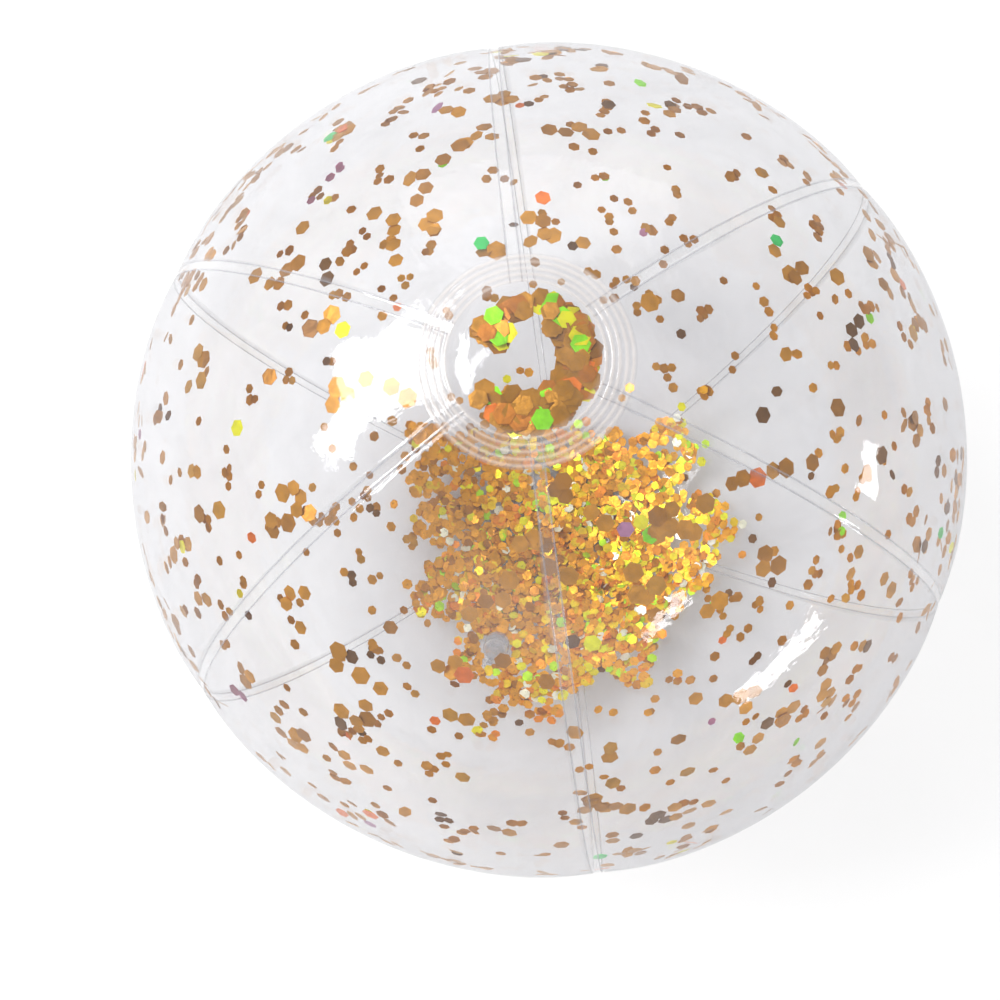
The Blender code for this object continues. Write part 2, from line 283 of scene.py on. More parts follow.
foilLook = {
    "wall": (0.55, 0.34),                   # metallic, roughness
    "pile": (0.60, 0.30),
    "mottleNoise": (260.0, 2.0),
    "mottleRamp": (0.78, 1.1, 0.3, 0.7),
    "brushNoise": (420.0, 2.0),
    "smooth": 0.6,                          # shares of the roughness
    "rough": 1.5,
    "bumpNoise": (600.0, 2.0),
    "bumpStrength": 0.3,
    "bumpDepth": 0.0004,
}


# Foil: each flake's colour, which holds painted glints and, in the pile, painted light, with faint mottling,
# a brushed sparkling roughness and a metal shine
def flakeMaterial(name, metallic, roughness):
    s = foilLook
    material, tree, output = newMaterial(name)
    vector = centredCoordinates(tree)
    # the flake colour attribute carries painted glints and, in the pile, painted light
    colour = attributeNode(tree, "flakeColourWithPaintedLight")
    mottle = rampValue(tree, noiseValue(tree, vector, *s["mottleNoise"]), *s["mottleRamp"])
    grey = tree.nodes.new("ShaderNodeCombineColor")
    for channel in grey.inputs:
        tree.links.new(mottle, channel)
    shade = mixColour(tree, 1.0, colour.outputs["Color"], grey.outputs[0], "MULTIPLY")
    foil = addNode(tree, "ShaderNodeBsdfPrincipled", Metallic=metallic, Roughness=roughness)
    tree.links.new(shade, foil.inputs["Base Color"])
    brush = noiseValue(tree, vector, *s["brushNoise"])
    tree.links.new(rampValue(tree, brush, roughness * s["smooth"], roughness * s["rough"]),
                   foil.inputs["Roughness"])
    bump = addNode(tree, "ShaderNodeBump", Strength=s["bumpStrength"], Distance=s["bumpDepth"])
    tree.links.new(noiseValue(tree, vector, *s["bumpNoise"]), bump.inputs["Height"])
    tree.links.new(bump.outputs["Normal"], foil.inputs["Normal"])
    tree.links.new(foil.outputs[0], output.inputs["Surface"])
    return material


goreShape = {
    "segments": 240,          # round the whole ball
    "rings": 120,
    "film": 0.0003,
    "lap": 0.0050,
    "dip": 0.00036,           # how deep the under edge of a lap lies
    "ramp": 0.0012,
    "tipTop": 0.0270,
    "tipBottom": 0.0330,
    "seamSink": 0.0012,       # the film is pulled in a little at the welds
    "sinkReach": 0.016,
    "pucker": 0.00042,        # fine creases that run off the welds
    "puckerReach": 0.011,
    "weldRidge": 0.00016,
    "weldLines": (0.84, -0.84),      # shares of half a lap
    "weldWidth": 0.00025,
    "edgeLoops": (-0.84, -0.64, -0.3, 0.0, 0.3, 0.64, 0.84, 1.0),
    "bandPower": 8,
    "sinkPower": 1.5,
    "tipFade": 1.6,           # the sink fades towards the tips
    "crease": 71,             # waves along a seam
    "creaseDrift": 2.0,
    "driftWaves": 9,
    "fineCrease": 118,
    "fineShare": 0.6,
    "fineShift": 1.3,
    "puckerGap": 0.004,       # no creases on the weld itself
    "holeRadius": 0.0092,     # for the valve
    "holeDepth": 0.012,
    "holeSides": 64,
}
smoothAngle = math.radians(40)
weldTolerance = 0.000001


def bisectAt(point, normal, clear):
    bpy.ops.mesh.select_all(action="SELECT")
    bpy.ops.mesh.bisect(plane_co=point, plane_no=normal, clear_outer=clear, clear_inner=False,
                        threshold=weldTolerance)


def seamNormal(longitude):
    return Vector((-math.sin(longitude), math.cos(longitude), 0))


# One gore at longitude 0, as an open sheet on the ball, with edge loops along its welds
def flatGore():
    s = goreShape
    bpy.ops.mesh.primitive_uv_sphere_add(segments=s["segments"], ring_count=s["rings"], radius=ballRadius,
                                         location=(0, 0, 0))
    gore = bpy.context.object
    start, end = seamNormal(0), seamNormal(math.tau / gores)
    editAll(gore)
    half = s["lap"] / 2
    bisectAt(-start * half, -start, True)
    bisectAt(end * half, end, True)
    bisectAt((0, 0, math.sqrt(ballRadius**2 - s["tipTop"]**2)), (0, 0, 1), True)
    bisectAt((0, 0, -math.sqrt(ballRadius**2 - s["tipBottom"]**2)), (0, 0, -1), True)
    for share in s["edgeLoops"]:
        bisectAt(start * half * share, start, False)
        bisectAt(end * half * share, end, False)
    bisectAt(start * (half + s["ramp"]), start, False)
    leaveEdit()
    return gore


# How far the film is pulled in, nearest metres from a seam
def seamSink(nearest, latitude):
    s = goreShape
    sink = s["seamSink"] * np.exp(-(nearest / s["sinkReach"]) ** s["sinkPower"])
    sink *= np.clip(np.cos(latitude) * s["tipFade"], 0, 1)
    wave = np.sin(latitude * s["crease"] + s["creaseDrift"] * np.sin(latitude * s["driftWaves"]))
    wave = wave + s["fineShare"] * np.sin(latitude * s["fineCrease"] + s["fineShift"])
    fade = np.exp(-nearest / s["puckerReach"]) * (1 - np.exp(-(nearest / s["puckerGap"]) ** 2))
    return sink + s["pucker"] * wave * fade


# Sinks the weld lines, raises the weld ridges and puckers the film beside them
def shapeGore(gore):
    s = goreShape
    points = readPoints(gore)
    start, end = np.array(seamNormal(0)), np.array(seamNormal(math.tau / gores))
    fromStart, fromEnd = points @ start, -(points @ end)
    nearest = np.minimum(np.abs(fromStart), np.abs(fromEnd))
    latitude = np.arcsin(np.clip(points[:, 2] / ballRadius, -1, 1))
    sink = seamSink(nearest, latitude)
    half = s["lap"] / 2
    ridge = np.zeros(len(points))
    for edge in s["weldLines"]:
        near = np.minimum(np.abs(fromStart - edge * half), np.abs(fromEnd - edge * half))
        ridge += np.exp(-(near / s["weldWidth"]) ** 2)
    sink -= s["weldRidge"] * ridge
    under = np.clip((half + s["ramp"] - fromStart) / s["ramp"], 0, 1)
    sink += s["dip"] * under * under * (3 - 2 * under)
    points *= (1 - sink / ballRadius)[:, None]
    writePoints(gore, points)
    markWelds(gore, np.clip(ridge, 0, 1), np.exp(-(nearest / half) ** s["bandPower"]))


def addGores(material):
    first = flatGore()
    shapeGore(first)
    addModifier(first, "SOLIDIFY", thickness=goreShape["film"], offset=-1)
    for number in range(1, gores + 1):
        gore = first.copy()
        gore.data = first.data.copy()
        bpy.context.scene.collection.objects.link(gore)
        turn = Matrix.Rotation(firstSeam + math.tau / gores * (number - 1), 4, "Z")
        gore.data.transform(Matrix.Translation(ballCentre) @ turn)
        if number == valveGore:
            cutValveHole(gore)
        makeActive(gore)
        bpy.ops.object.shade_smooth_by_angle(angle=smoothAngle)
        settle(gore, f"clear_gore_{number}", material, "shell", "clear_vinyl", f"gore_{number}")
    bpy.data.objects.remove(first)
    report("six gores with lap welds")


# Matrix that puts +Z out of the ball at the valve
def valveFrame():
    axes = Matrix((valveDown, valveSide, valveWay)).transposed().to_4x4()
    return Matrix.Translation(valveSpot) @ axes


def cutValveHole(gore):
    s = goreShape
    bpy.ops.mesh.primitive_cylinder_add(vertices=s["holeSides"], radius=s["holeRadius"], depth=s["holeDepth"])
    cutter = bpy.context.object
    cutter.data.transform(valveFrame())
    addModifier(gore, "BOOLEAN", operation="DIFFERENCE", object=cutter)
    bpy.data.objects.remove(cutter)


discShape = {
    "radius": 0.0372,
    "clearRadius": 0.0262,
    "film": 0.0003,
    "ringStep": 0.00035,
    "ribs": (0.0269, 0.0292, 0.0314, 0.0338, 0.0360),
    "ribHeight": 0.00042,
    "ribWidth": 0.00062,
    "lift": 0.00035,           # the disc lies on the gore tips
    "segments": 144,
    "innerRings": 12,
    "ribFade": 0.1,            # each rib is this much lower than the one inside it
    "lineWidth": 0.00075,
    "lineShade": 0.8,
    "bandEdge": 0.0006,
    "bandShade": 0.12,
    "wrinkle": 0.00012,
    "wrinkleWaves": 23,
    "wrinkleDrift": 3,
    "driftWaves": 4,
    "wrinkleFrom": 0.025,
    "wrinkleReach": 0.008,
    "flatRibs": 0.0325,        # the bottom disc's ribs inside this are pressed flat
    "floorGap": 0.00002,
}


# A round blank whose rings are inset from the rim to the middle
def flatDisc():
    s = discShape
    bpy.ops.mesh.primitive_circle_add(vertices=s["segments"], radius=s["radius"], fill_type="NGON")
    disc = bpy.context.object
    editAll(disc)
    steps = round((s["radius"] - s["clearRadius"]) / s["ringStep"])
    for _ in range(steps):
        bpy.ops.mesh.inset(thickness=s["ringStep"])
    inner = s["clearRadius"] / s["innerRings"]
    for _ in range(s["innerRings"] - 1):
        bpy.ops.mesh.inset(thickness=inner)
    bpy.ops.mesh.poke()
    leaveEdit()
    return disc


def ribLift(across, ribs):
    s = discShape
    lift = np.zeros_like(across)
    for number, rib in enumerate(ribs):
        height = s["ribHeight"] * (1 - s["ribFade"] * number)
        lift += height * np.exp(-((across - rib) / s["ribWidth"]) ** 2)
    return lift


def ribShade(across, ribs):
    s = discShape
    shade = sum(np.exp(-((across - rib) / s["lineWidth"]) ** 2) for rib in ribs)
    band = np.clip((across - s["clearRadius"]) / s["bandEdge"], 0, 1)
    return np.clip(shade * s["lineShade"] + band * s["bandShade"], 0, 1), band


def addDiscs(material):
    s = discShape
    top = flatDisc()
    bottom = top.copy()
    bottom.data = top.data.copy()
    bpy.context.scene.collection.objects.link(bottom)

    points = readPoints(top)
    across = np.hypot(points[:, 0], points[:, 1])
    around = np.arctan2(points[:, 1], points[:, 0])
    drift = s["wrinkleDrift"] * np.sin(around * s["driftWaves"])
    fade = np.clip((across - s["wrinkleFrom"]) / s["wrinkleReach"], 0, 1)
    wrinkle = s["wrinkle"] * np.sin(around * s["wrinkleWaves"] + drift) * fade
    points[:, 2] = np.sqrt((ballRadius + s["lift"]) ** 2 - across**2) + ribLift(across, s["ribs"]) + wrinkle
    writePoints(top, points)
    markWelds(top, *ribShade(across, s["ribs"]))
    top.data.transform(Matrix.Translation(ballCentre))
    finishDisc(top, "top_disc_film", material, "top_end_disc")

    points = readPoints(bottom)
    across = np.hypot(points[:, 0], points[:, 1])
    lowRibs = [rib for rib in s["ribs"] if rib > s["flatRibs"]]
    sphere = -np.sqrt((ballRadius + s["lift"]) ** 2 - across**2) - ribLift(across, lowRibs)
    points[:, 2] = np.maximum(sphere, -ballCentre.z + s["floorGap"])
    writePoints(bottom, points)
    markWelds(bottom, *ribShade(across, s["ribs"]))
    bottom.data.transform(Matrix.Translation(ballCentre))
    editAll(bottom)
    bpy.ops.mesh.flip_normals()
    leaveEdit()
    finishDisc(bottom, "bottom_disc_film", material, "bottom_end_disc")
    report("end discs with ring welds")


def finishDisc(disc, name, material, node):
    addModifier(disc, "SOLIDIFY", thickness=discShape["film"], offset=-1)
    bpy.ops.object.shade_smooth_by_angle(angle=smoothAngle)
    settle(disc, name, material, "shell", "disc_vinyl", node)


glitterLook = {
    "seed": 41,
    "small": 0.0030,          # centre to corner
    "large": 0.0037,
    "thick": 0.00016,
    "rim": 0.16,              # rim, crown and curl of a flake of radius 1
    "crown": 0.012,
    "curl": 0.035,
    "paintedGlintFrom": 0.93,       # a colour with a channel above this is a bright one, a painted glint
    "lightSpread": (0.90, 1.10),
}

# share of flakes, then linear colour; the first rows are plain gold, the rest are painted glints: bright
# colours that stand for flakes catching the light
wallColours = (
    (0.50, (0.620, 0.275, 0.018)),
    (0.25, (0.470, 0.195, 0.012)),
    (0.07, (0.200, 0.085, 0.014)),
    (0.08, (0.620, 0.300, 0.030)),
    (0.035, (0.980, 0.900, 0.006)),
    (0.020, (0.330, 0.900, 0.020)),
    (0.008, (0.060, 0.700, 0.160)),
    (0.040, (0.980, 0.230, 0.030)),
    (0.008, (0.520, 0.240, 0.400)),
)
pileColours = (
    (0.64, (0.900, 0.390, 0.006)),
    (0.09, (0.500, 0.190, 0.004)),
    (0.09, (1.000, 0.660, 0.004)),
    (0.06, (1.000, 0.900, 0.006)),
    (0.03, (0.560, 0.950, 0.010)),
    (0.06, (1.000, 0.310, 0.010)),
    (0.03, (1.000, 0.960, 0.720)),
)
capColours = (
    (0.52, (0.500, 0.220, 0.010)),
    (0.20, (0.560, 0.190, 0.008)),
    (0.09, (0.300, 0.120, 0.008)),
    (0.06, (1.000, 0.900, 0.006)),
    (0.08, (0.340, 0.950, 0.010)),
    (0.05, (1.000, 0.240, 0.015)),
)

# Draws a colour; the painted-glint share raises the share of the bright rows, which are painted glints, and
# light, a painted light level, scales the result
def pickColour(dice, table, paintedGlintShare=1.0, light=1.0):
    bright = glitterLook["paintedGlintFrom"]
    shares = [share * (paintedGlintShare if max(colour) > bright else 1.0) for share, colour in table]
    colour = dice.choices([colour for share, colour in table], shares)[0]
    light *= dice.uniform(*glitterLook["lightSpread"])
    return [min(1.0, c * light) for c in colour] + [1.0]


# One flake of radius 1: a hexagon with a soft rim and a slight curl
def flakeBlank():
    s = glitterLook
    bpy.ops.mesh.primitive_cylinder_add(vertices=6, radius=1, depth=s["thick"] / s["small"])
    blank = bpy.context.object
    editAll(blank)
    bpy.ops.mesh.select_mode(type="FACE")
    bpy.ops.mesh.select_all(action="DESELECT")
    shape = bmesh.from_edit_mesh(blank.data)
    for face in shape.faces:
        face.select = face.normal.z > 0.9
    bmesh.update_edit_mesh(blank.data)
    bpy.ops.mesh.inset(thickness=s["rim"])
    bpy.ops.transform.translate(value=(0, 0, s["crown"]))
    leaveEdit()
    points = readPoints(blank)
    points[:, 2] += s["curl"] * points[:, 0] ** 2
    faces = [list(face.vertices) for face in blank.data.polygons]
    bpy.data.objects.remove(blank)
    return points, faces


# Copies the blank to every place. A place is (matrix, size, colour)
def scatterFlakes(name, blank, places):
    points, faces = blank
    allPoints, allFaces, allColours = [], [], []
    for matrix, size, colour in places:
        first = len(allPoints) * len(points)
        turned = points @ np.array(matrix.to_3x3()).T * size + np.array(matrix.translation)
        allPoints.append(turned)
        allFaces += [[first + corner for corner in face] for face in faces]
        allColours += [colour] * len(faces)
    mesh = bpy.data.meshes.new(name)
    mesh.from_pydata(np.concatenate(allPoints).tolist(), [], allFaces)
    tint = mesh.attributes.new("flakeColourWithPaintedLight", "FLOAT_COLOR", "FACE")
    tint.data.foreach_set("color", np.array(allColours, np.float32).ravel())
    flakes = bpy.data.objects.new(name, mesh)
    bpy.context.scene.collection.objects.link(flakes)
    return flakes


# Lays a flake inside the wall in direction way, tilted a little at random
def flakePlace(dice, way, depth, tilt, size, colour):
    facing = way.to_track_quat("Z", "Y").to_matrix().to_4x4()
    spin = Matrix.Rotation(dice.uniform(0, math.tau), 4, "Z")
    lean = Matrix.Rotation(tilt, 4, "X")
    place = Matrix.Translation(ballCentre + way * (ballRadius - depth))
    return place @ facing @ spin @ lean @ Matrix.Rotation(dice.uniform(0, math.tau), 4, "Z"), size, colour


def randomWay(dice):
    height = dice.uniform(-1, 1)
    around = dice.uniform(0, math.tau)
    across = math.sqrt(1 - height**2)
    return Vector((across * math.cos(around), across * math.sin(around), height))


# The direction at an angle polar from straight up, or from straight down where up is -1
def polarWay(polar, around, up=1):
    across = math.sin(polar)
    return Vector((across * math.cos(around), across * math.sin(around), up * math.cos(polar)))


# A direction between low and high metres away from way, along the wall
def offWay(dice, way, low, high):
    side = randomWay(dice)
    side = (side - way * side.dot(way)).normalized()
    angle = dice.uniform(low, high) / ballRadius
    return (way * math.cos(angle) + side * math.sin(angle)).normalized()


lowestSlope = 0.3        # directions flatter than this can't meet the floor
flakeClearance = 2.5     # films between a flake and the outside of the ball


# How much of the ball is pressed flat in direction way
def floorDepth(way):
    return max(0.0, ballRadius - ballCentre.z / max(lowestSlope, -way.z))


# How deep the inner face of the film lies in direction way
def wallDepth(way):
    latitude = math.asin(max(-1.0, min(1.0, way.z)))
    past = (math.atan2(way.y, way.x) - firstSeam) % (math.tau / gores)
    toSeam = min(past, math.tau / gores - past)
    nearest = ballRadius * math.cos(latitude) * math.sin(toSeam)
    return max(float(seamSink(nearest, latitude)), floorDepth(way)) + goreShape["film"] * flakeClearance


wallGlitter = {
    "seeds": 730,
    "clumps": (1, 1, 1, 1, 2, 2, 3, 4),
    "largeShare": 0.22,
    "sizes": (0.92, 1.12),
    "steps": (1.3, 2.4),          # from flake to flake in a clump, in flakes
    "discClear": 0.041,           # none under the top disc, none on the valve
    "valveClear": 0.014,
    "depths": (0.0004, 0.0009),
    "tilt": 0.10,
    "levelShare": 0.9,            # the rest stand off the wall
    "standing": (-0.5, 0.5),
    "plainBelow": 0.75,           # a plain clump mostly keeps one colour
    "alikeShare": 0.6,
}
valveGlitter = {
    "tries": 110,
    "ring": (0.0122, 0.027),
    "besideNotch": 0.0125,
    "belowValve": 0.004,
    "depth": 0.0026,
}


# Flakes that cling inside the wall, alone or in short chains and clumps
def addWallFlakes(blank, material):
    s, w, v = glitterLook, wallGlitter, valveGlitter
    dice = random.Random(s["seed"])
    places = []
    for _ in range(w["seeds"]):
        way = randomWay(dice)
        count = dice.choice(w["clumps"])
        colour = pickColour(dice, wallColours)
        for _ in range(count):
            large = dice.random() < w["largeShare"]
            size = s["large"] if large else s["small"] * dice.uniform(*w["sizes"])
            onDisc = math.hypot(way.x, way.y) * ballRadius < w["discClear"] and way.z > 0
            onValve = way.angle(valveWay) * ballRadius < w["valveClear"]
            if not onDisc and not onValve:
                depth = wallDepth(way) + dice.uniform(*w["depths"])
                level = dice.random() < w["levelShare"]
                tilt = dice.gauss(0, w["tilt"]) if level else dice.uniform(*w["standing"])
                lift = abs(math.sin(tilt)) * size
                alike = max(colour[:3]) < w["plainBelow"] and dice.random() < w["alikeShare"]
                shade = colour if alike else pickColour(dice, wallColours)
                places.append(flakePlace(dice, way, depth + lift, tilt, size, shade))
            way = offWay(dice, way, size * w["steps"][0], size * w["steps"][1])
    for _ in range(v["tries"]):
        way = offWay(dice, valveWay, *v["ring"])
        spot = (way - valveWay) * ballRadius
        if abs(spot.dot(valveSide)) < v["besideNotch"] or spot.dot(valveDown) < v["belowValve"]:
            colour = pickColour(dice, pileColours)
            depth = wallDepth(way) + v["depth"]
            places.append(flakePlace(dice, way, depth, dice.gauss(0, w["tilt"]), s["small"], colour))
    flakes = scatterFlakes("wall_flakes", blank, places)
    settle(flakes, "wall_flakes", material, "shell", "gold_glitter")
    report(f"{len(places)} flakes on the wall")


capGlitter = {
    "count": 190,
    "arc": (-158, 112, -35),      # degrees: from, to, thickest at
    "radius": 0.0232,
    "areas": (0.30, 1.0),         # shares of the disc's area, so the middle stays clear
    "strayShare": 0.12,
    "strayArc": (108, 150),
    "strayRadii": (0.009, 0.021),
    "sizes": (0.86, 1.08),
    "tilt": 0.13,
    "depths": (0.0009, 0.0030),
    "lift": 0.6,
}


# The crescent of large flakes caught under the top disc
def addCapFlakes(blank, material):
    s, c = glitterLook, capGlitter
    dice = random.Random(s["seed"] + 1)
    places = []
    for _ in range(c["count"]):
        around = math.radians(dice.triangular(*c["arc"]))
        across = c["radius"] * math.sqrt(dice.uniform(*c["areas"]))
        if dice.random() < c["strayShare"]:
            around, across = math.radians(dice.uniform(*c["strayArc"])), dice.uniform(*c["strayRadii"])
        way = polarWay(across / ballRadius, around)
        size = s["large"] * dice.uniform(*c["sizes"])
        tilt = dice.gauss(0, c["tilt"])
        depth = dice.uniform(*c["depths"]) + abs(math.sin(tilt)) * size * c["lift"]
        places.append(flakePlace(dice, way, depth, tilt, size, pickColour(dice, capColours)))
    flakes = scatterFlakes("cap_flakes", blank, places)
    settle(flakes, "cap_flakes", material, "shell", "gold_glitter", "cap_glitter")
    report(f"{len(places)} flakes under the top disc")


pileGlitter = {
    "count": 3300,
    "spread": math.radians(33),
    "lean": math.radians(9),
    "edge": 0.97,                 # the outline: its mean, and waves of (height, lobes, shift)
    "waves": ((0.12, 3, 0.6), (0.10, 7, 2.1), (0.08, 11, 0.0), (0.05, 23, 1.0)),
    "strayShare": 0.05,
    "strays": (1.0, 1.4),
    "fill": 0.96,
    "thinning": 0.55,             # share left out at the edge
    "notch": 0.0112,              # kept clear for the valve
    "tilt": 0.16,
    "middleTilt": 0.28,
    "sizes": (0.95, 1.25),
    # the next five keys set the painted light on the pile: its flakes are painted lighter towards +x and in
    # patches
    "paintedLightPatches": (9, 2.2, 8, 0.7),
    "finePaintedLightPatches": (0.5, 23, 17),
    "paintedLightMiddle": 0.5,
    "paintedLightSide": 1.3,
    "paintedLightPatch": 0.25,
    "paintedGlintShare": (0.4, 2.2),        # share factor of painted glints: at the dark side, and added at the bright side
    # painted light that scales the flake colours: at the dark side, and added at the bright side
    "light": (0.84, 0.30),
    "depth": 0.0030,
    "stack": (0.0012, 0.0045),    # at the edge, and added in the middle
    "lift": 0.7,
}


def pileEdge(around):
    waves = (height * math.sin(lobes * around + shift) for height, lobes, shift in pileGlitter["waves"])
    return pileGlitter["edge"] + sum(waves)


# Painted light: how much light is painted into the pile's flake colours, from 0 to 1: more on one side, and
# in patches
def paintedPileLight(way):
    s = pileGlitter
    across, shift, along, moreShift = s["paintedLightPatches"]
    share, fineAcross, fineAlong = s["finePaintedLightPatches"]
    paintedPatch = math.sin(way.x * across + shift) * math.sin(way.y * along + moreShift)
    paintedPatch += share * math.sin(way.x * fineAcross + way.y * fineAlong)
    return max(0.0, min(1.0, s["paintedLightMiddle"] + way.x * s["paintedLightSide"] + s["paintedLightPatch"] * paintedPatch))


# The loose pile on the bottom: dense and stacked in the middle, ragged at its edge, its colours painted
# lighter and with more painted glints on one side and in patches
def addPileFlakes(blank, material):
    s, p = glitterLook, pileGlitter
    dice = random.Random(s["seed"] + 2)
    lean = Matrix.Rotation(-p["lean"], 3, "X")
    places = []
    while len(places) < p["count"]:
        around = dice.uniform(0, math.tau)
        share = math.sqrt(dice.random())
        edge = pileEdge(around)
        if dice.random() < p["strayShare"]:
            edge *= dice.uniform(*p["strays"])
        if dice.random() < share**3 * p["thinning"]:
            continue
        way = lean @ polarWay(p["spread"] * edge * share * p["fill"], around, -1)
        spot = way * ballRadius
        below = (spot - valveWay * ballRadius).dot(valveDown)
        if abs(spot.dot(valveSide)) < p["notch"] and below < p["notch"]:
            continue
        middle = 1 - share
        tilt = dice.gauss(0, p["tilt"] + p["middleTilt"] * middle)
        size = s["small"] * dice.uniform(*p["sizes"])
        # painted light: flakes on the lit side and in lit patches get lighter colours and more painted glints
        bright = paintedPileLight(way)
        paintedGlintShare, light = (low + more * bright for low, more in (p["paintedGlintShare"], p["light"]))
        colour = pickColour(dice, pileColours, paintedGlintShare, light)
        height = dice.random() * (p["stack"][0] + p["stack"][1] * middle)
        depth = floorDepth(way) + p["depth"] + height + abs(math.sin(tilt)) * size * p["lift"]
        places.append(flakePlace(dice, way, depth, tilt, size, colour))
    flakes = scatterFlakes("pile_flakes", blank, places)
    settle(flakes, "pile_flakes", material, "glitter", "gold_glitter", "loose_glitter")
    report(f"{len(places)} flakes in the pile")


valveShape = {
    "steps": 64,
    "flange": ((0.0079, -0.00150), (0.0153, -0.00205), (0.0153, -0.00268), (0.0079, -0.00225)),
    "stem": ((0.0033, 0.0003), (0.0037, 0.0004), (0.0071, 0.0004), (0.0072, -0.0001), (0.0070, -0.0009),
             (0.0053, -0.0009), (0.0050, -0.0013), (0.0050, -0.0112), (0.0054, -0.0116), (0.0070, -0.0116),
             (0.0072, -0.0126), (0.0036, -0.0126), (0.0033, -0.0122)),
    "web": ((0.00800, -0.00175), (0.00835, -0.0030), (0.00830, -0.0060), (0.00800, -0.0090),
            (0.00735, -0.0118)),
    "webThick": 0.00035,
    "plug": ((0.0, 0.0021), (0.0030, 0.0021), (0.0036, 0.0023), (0.0058, 0.0023), (0.0064, 0.0018),
             (0.0064, 0.0008), (0.0027, 0.0008), (0.0025, -0.0010), (0.0027, -0.0018), (0.0021, -0.0033),
             (0.0, -0.0034)),
    "flap": ((0.0, 0.00012), (0.0040, 0.00012), (0.0043, 0.00025), (0.0052, 0.00025), (0.0052, -0.00025),
             (0.0, -0.00025)),
    "bevel": 0.00012,
    "plugBevel": 1.6,          # in bevels
    "rings": (0.0098, 0.0120, 0.0142),
    "ringHeight": 0.5,         # as a share of a rib on the end discs
    "ear": ((-0.00995, -0.0018, 0.00075), (-0.0054, 0.0018, 0.00165), 0.00025),      # low, high, bevel
    "strap": ((-0.0103, -0.0015, -0.00025), (-0.0071, 0.0015, 0.00015), 0.00012),
    "hingeReach": 0.0058,      # from the flap's hinge to its middle
    "smoothAngle": math.radians(35),
    "mergeDistance": 0.00001,
}


# Turns a profile of (radius, height) points round the Z axis
def spinProfile(profile, closed, steps):
    bpy.ops.mesh.primitive_plane_add(size=0.001)
    piece = bpy.context.object
    editAll(piece)
    bpy.ops.mesh.delete(type="VERT")
    shape = bmesh.from_edit_mesh(piece.data)
    corners = [shape.verts.new((radius, 0, height)) for radius, height in profile]
    for first, second in zip(corners, corners[1:]):
        shape.edges.new((first, second))
    if closed:
        shape.edges.new((corners[-1], corners[0]))
    bmesh.update_edit_mesh(piece.data)
    bpy.ops.mesh.select_all(action="SELECT")
    bpy.ops.mesh.spin(steps=steps, angle=math.tau, center=(0, 0, 0), axis=(0, 0, 1))
    bpy.ops.mesh.select_all(action="SELECT")
    bpy.ops.mesh.remove_doubles(threshold=valveShape["mergeDistance"])
    bpy.ops.mesh.normals_make_consistent(inside=False)
    leaveEdit()
    return piece


def roundedBox(low, high, bevel):
    size = [b - a for a, b in zip(low, high)]
    bpy.ops.mesh.primitive_cube_add(size=1, location=[(a + b) / 2 for a, b in zip(low, high)], scale=size)
    box = bpy.context.object
    bpy.ops.object.transform_apply(location=True, rotation=True, scale=True)
    addModifier(box, "BEVEL", width=bevel, segments=3, limit_method="ANGLE")
    return box


def placeValvePiece(piece, frameMatrix, name, material, body, slotName, *nodes):
    piece.data.transform(frameMatrix)
    makeActive(piece)
    bpy.ops.object.shade_smooth_by_angle(angle=valveShape["smoothAngle"])
    settle(piece, name, material, body, slotName, *nodes)


def addValve(vinyl, plugVinyl, flapVinyl):
    s = valveShape
    here = valveFrame()
    flange = spinProfile(s["flange"], True, s["steps"])
    editAll(flange)
    bpy.ops.mesh.subdivide(number_cuts=2)
    leaveEdit()
    points = readPoints(flange)
    across = np.hypot(points[:, 0], points[:, 1])
    points[:, 2] += ribLift(across, s["rings"]) * s["ringHeight"]
    writePoints(flange, points)
    placeValvePiece(flange, here, "valve_weld_ring", vinyl, "shell", "valve_vinyl", "valve_flange")

    stem = spinProfile(s["stem"], True, s["steps"])
    addModifier(stem, "BEVEL", width=s["bevel"], segments=2, limit_method="ANGLE")
    placeValvePiece(stem, here, "valve_neck", vinyl, "stem", "valve_vinyl", "valve_stem")

    web = spinProfile(s["web"], False, s["steps"])
    addModifier(web, "SUBSURF", levels=2, render_levels=2)
    addModifier(web, "SOLIDIFY", thickness=s["webThick"], offset=0)
    placeWeb(web, here, vinyl)

    plug = spinProfile(s["plug"], False, s["steps"])
    addModifier(plug, "BEVEL", width=s["bevel"] * s["plugBevel"], segments=3, limit_method="ANGLE")
    ear = roundedBox(*s["ear"])
    makeActive(plug)
    ear.select_set(True)
    bpy.ops.object.join()
    placeValvePiece(plug, here, "valve_stopper", plugVinyl, "plug", "plug_vinyl", "valve_plug")

    strap = roundedBox(*s["strap"])
    placeValvePiece(strap, here, "stopper_strap", plugVinyl, "stem", "plug_vinyl", "plug_tether")

    flap = spinProfile(s["flap"], False, s["steps"])
    hinge = here.inverted() @ Vector(joints["flap_swing"]["pos_m"])
    flap.data.transform(Matrix.Translation((hinge.x - s["hingeReach"], 0, hinge.z)))
    placeValvePiece(flap, here, "valve_flap", flapVinyl, "flap", "flap_film", "check_flap")
    report("valve")


# The soft cone between the weld ring and the neck; on the real valve it turns inside out as the neck is
# pulled, here it stays a fixed shape
def placeWeb(web, here, material):
    web.data.transform(here)
    web.name = "valve_web"
    web.data.materials.append(material)
    makeActive(web)
    bpy.ops.object.shade_smooth()
    deselectAll()
    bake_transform(web)


stageLook = {
    "floorSize": 8,
    "floorColour": (0.93, 0.93, 0.93, 1),
    "floorRoughness": 0.9,
    "skyStrength": 0.74,
}


